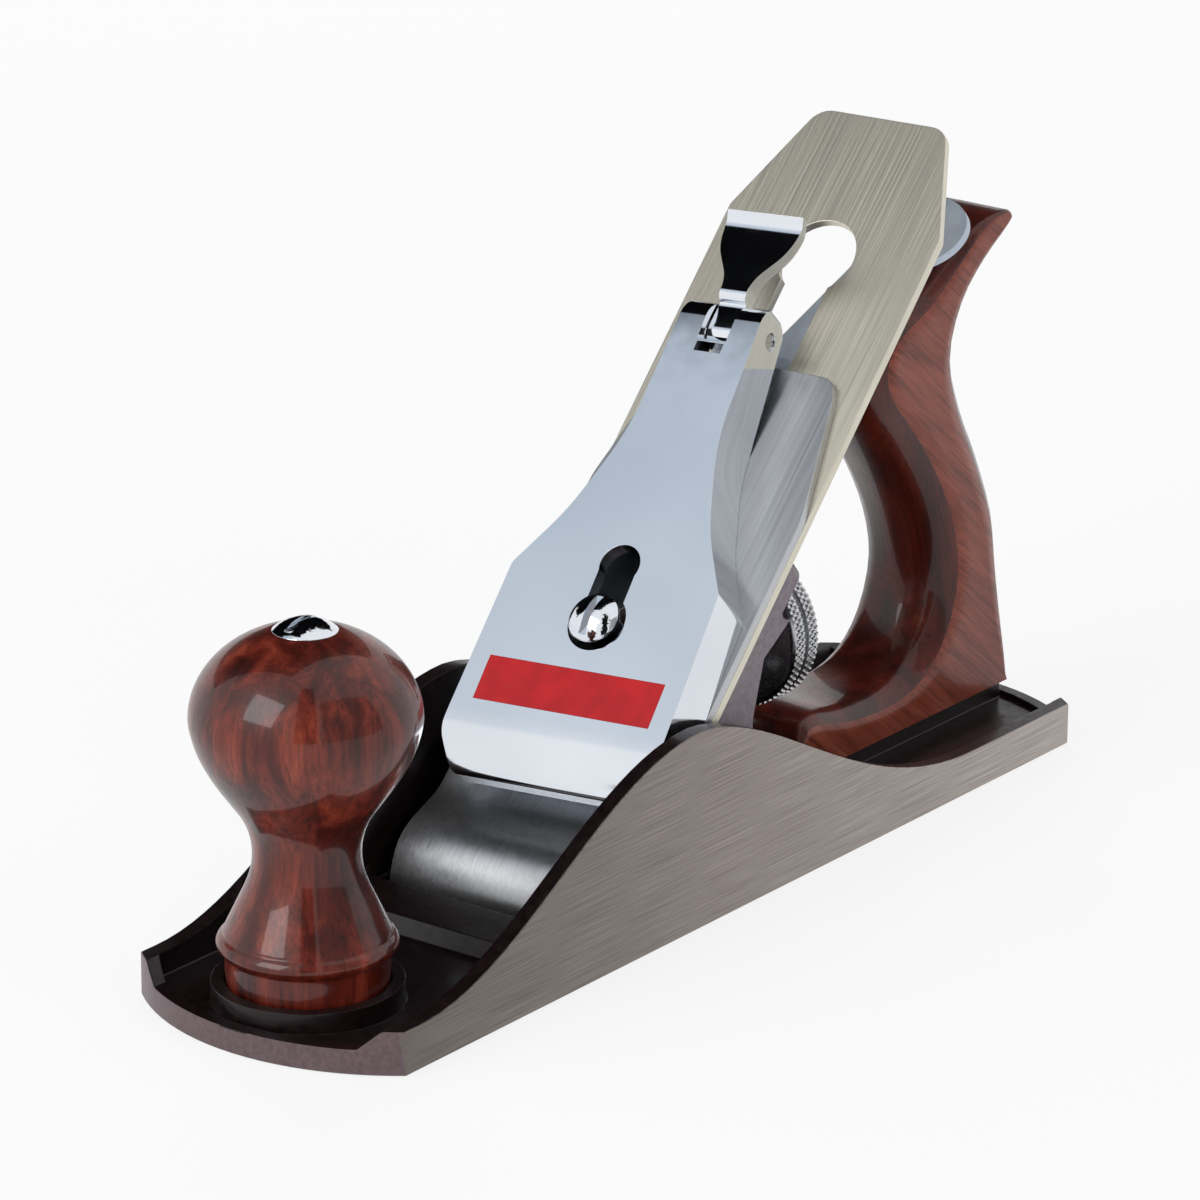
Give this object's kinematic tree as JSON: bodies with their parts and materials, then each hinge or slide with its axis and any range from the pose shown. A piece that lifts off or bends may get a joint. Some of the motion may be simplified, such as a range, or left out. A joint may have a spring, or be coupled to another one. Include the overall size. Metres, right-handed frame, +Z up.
{
  "type": "smoothing plane",
  "caption": "Iron bench plane with an adjustable frog, a depth wheel, a lateral lever, a lever cap with a cam, and a wooden knob and tote.",
  "frame": {"origin": "middle of the sole's face, under the middle of the plane's bounding box", "axes": "+X from toe to heel, +Y to the far cheek of the picture, +Z up from the sole"},
  "size_m": [0.245, 0.0636, 0.1342],
  "materials": {
    "ground_iron": "ground cast iron, fine scratches along the length",
    "enamel_iron": "enamelled cast iron",
    "tool_steel": "brushed along its length",
    "bright_steel": "satin steel",
    "plated_iron": "polished chrome plate",
    "bright_screws": "polished plate",
    "dark_steel": "dull steel",
    "red_enamel": "gloss enamel",
    "lacquered_wood": "gloss red-brown lacquer",
    "brass": "turned"
  },
  "bodies": {
    "body": {"body": "ground_iron", "knob": "lacquered_wood", "knob_bolt": "bright_steel", "knob_nut": "bright_screws", "tote": "lacquered_wood", "tote_bolt": "bright_steel", "tote_nut": "bright_screws", "frog_screws": "bright_screws", "frog_screw_washers": "bright_screws"},
    "frog": {"frog": "enamel_iron", "frog_clip": "dark_steel", "frog_clip_screw": "bright_screws", "yoke_pin": "bright_steel", "depth_stud": "bright_steel", "lateral_lever_rivet": "bright_steel"},
    "adjusting_screw": {"frog_adjusting_screw": "bright_screws"},
    "cap_screw": {"lever_cap_screw": "bright_screws"},
    "irons": {"cutter": "tool_steel", "cap_iron": "bright_steel", "cap_iron_screw": "bright_steel"},
    "yoke": {"yoke": "dark_steel"},
    "collar": {"depth_nut_collar": "brass"},
    "wheel": {"depth_nut": "bright_steel"},
    "lateral_lever": {"lateral_lever": "bright_steel", "roller_rivet": "bright_steel"},
    "roller": {"lateral_roller": "bright_steel"},
    "lever_cap": {"lever_cap": "plated_iron", "lever_cap_panel": "red_enamel", "lever_cap_spring": "dark_steel", "spring_rivet": "bright_steel", "cam_pin": "bright_steel"},
    "cam_lever": {"cam_lever": "plated_iron"}
  },
  "joints": [
    {"name": "frog_slide", "type": "slide", "parent": "body", "child": "frog", "axis": [1, 0, 0], "range_m": [-0.001, 0.0015]},
    {"name": "frog_adjusting_screw", "type": "hinge", "parent": "frog", "child": "adjusting_screw", "pos_m": [0.009, 0, 0.0126], "axis": [1, 0, 0], "range_deg": [-345, 515]},
    {"name": "iron_skew", "type": "hinge", "parent": "frog", "child": "cap_screw", "pos_m": [-0.00188, 0, 0.04412], "axis": [-0.7071, 0, 0.7071], "range_deg": [-2.4, 0]},
    {"name": "lateral_lever_swing", "type": "hinge", "parent": "frog", "child": "lateral_lever", "pos_m": [0.04596, 0, 0.0863], "axis": [-0.7071, 0, 0.7071], "range_deg": [0, 11]},
    {"name": "roller_turn", "type": "hinge", "parent": "lateral_lever", "child": "roller", "pos_m": [0.03645, 0.00109, 0.07962], "axis": [-0.7071, 0, 0.7071], "continuous": true},
    {"name": "iron_feed", "type": "slide", "parent": "cap_screw", "child": "irons", "axis": [0.707, 0.0209, 0.707], "range_m": [-0.001, 0.0025]},
    {"name": "yoke_rock", "type": "hinge", "parent": "frog", "child": "yoke", "pos_m": [0.02047, 0, 0.05233], "axis": [0, 1, 0], "range_deg": [-5.3, 13.1]},
    {"name": "depth_nut_travel", "type": "slide", "parent": "frog", "child": "collar", "axis": [1, 0, 0], "range_m": [-0.0032, 0.0013]},
    {"name": "depth_wheel", "type": "hinge", "parent": "collar", "child": "wheel", "pos_m": [0.038, 0, 0.039], "axis": [1, 0, 0], "range_deg": [-426, 1064]},
    {"name": "lever_cap_slide", "type": "slide", "parent": "cap_screw", "child": "lever_cap", "axis": [0.7052, 0.0732, 0.7052], "range_m": [-0.0125, 0]},
    {"name": "cam_lever", "type": "hinge", "parent": "lever_cap", "child": "cam_lever", "pos_m": [0.03872, 0.00495, 0.09887], "axis": [0.0518, -0.9973, 0.0518], "range_deg": [0, 90]}
  ],
  "couplings": [
    {"joint": "frog_adjusting_screw", "follows": "frog_slide", "rad_per_m": 5927.5},
    {"joint": "lateral_lever_swing", "follows": "iron_skew", "ratio": -4.5348},
    {"joint": "depth_wheel", "follows": "iron_feed", "rad_per_m": 7423.4},
    {"joint": "yoke_rock", "follows": "iron_feed", "rad_per_m": 90.9},
    {"joint": "depth_nut_travel", "follows": "iron_feed", "ratio": -1.25}
  ]
}
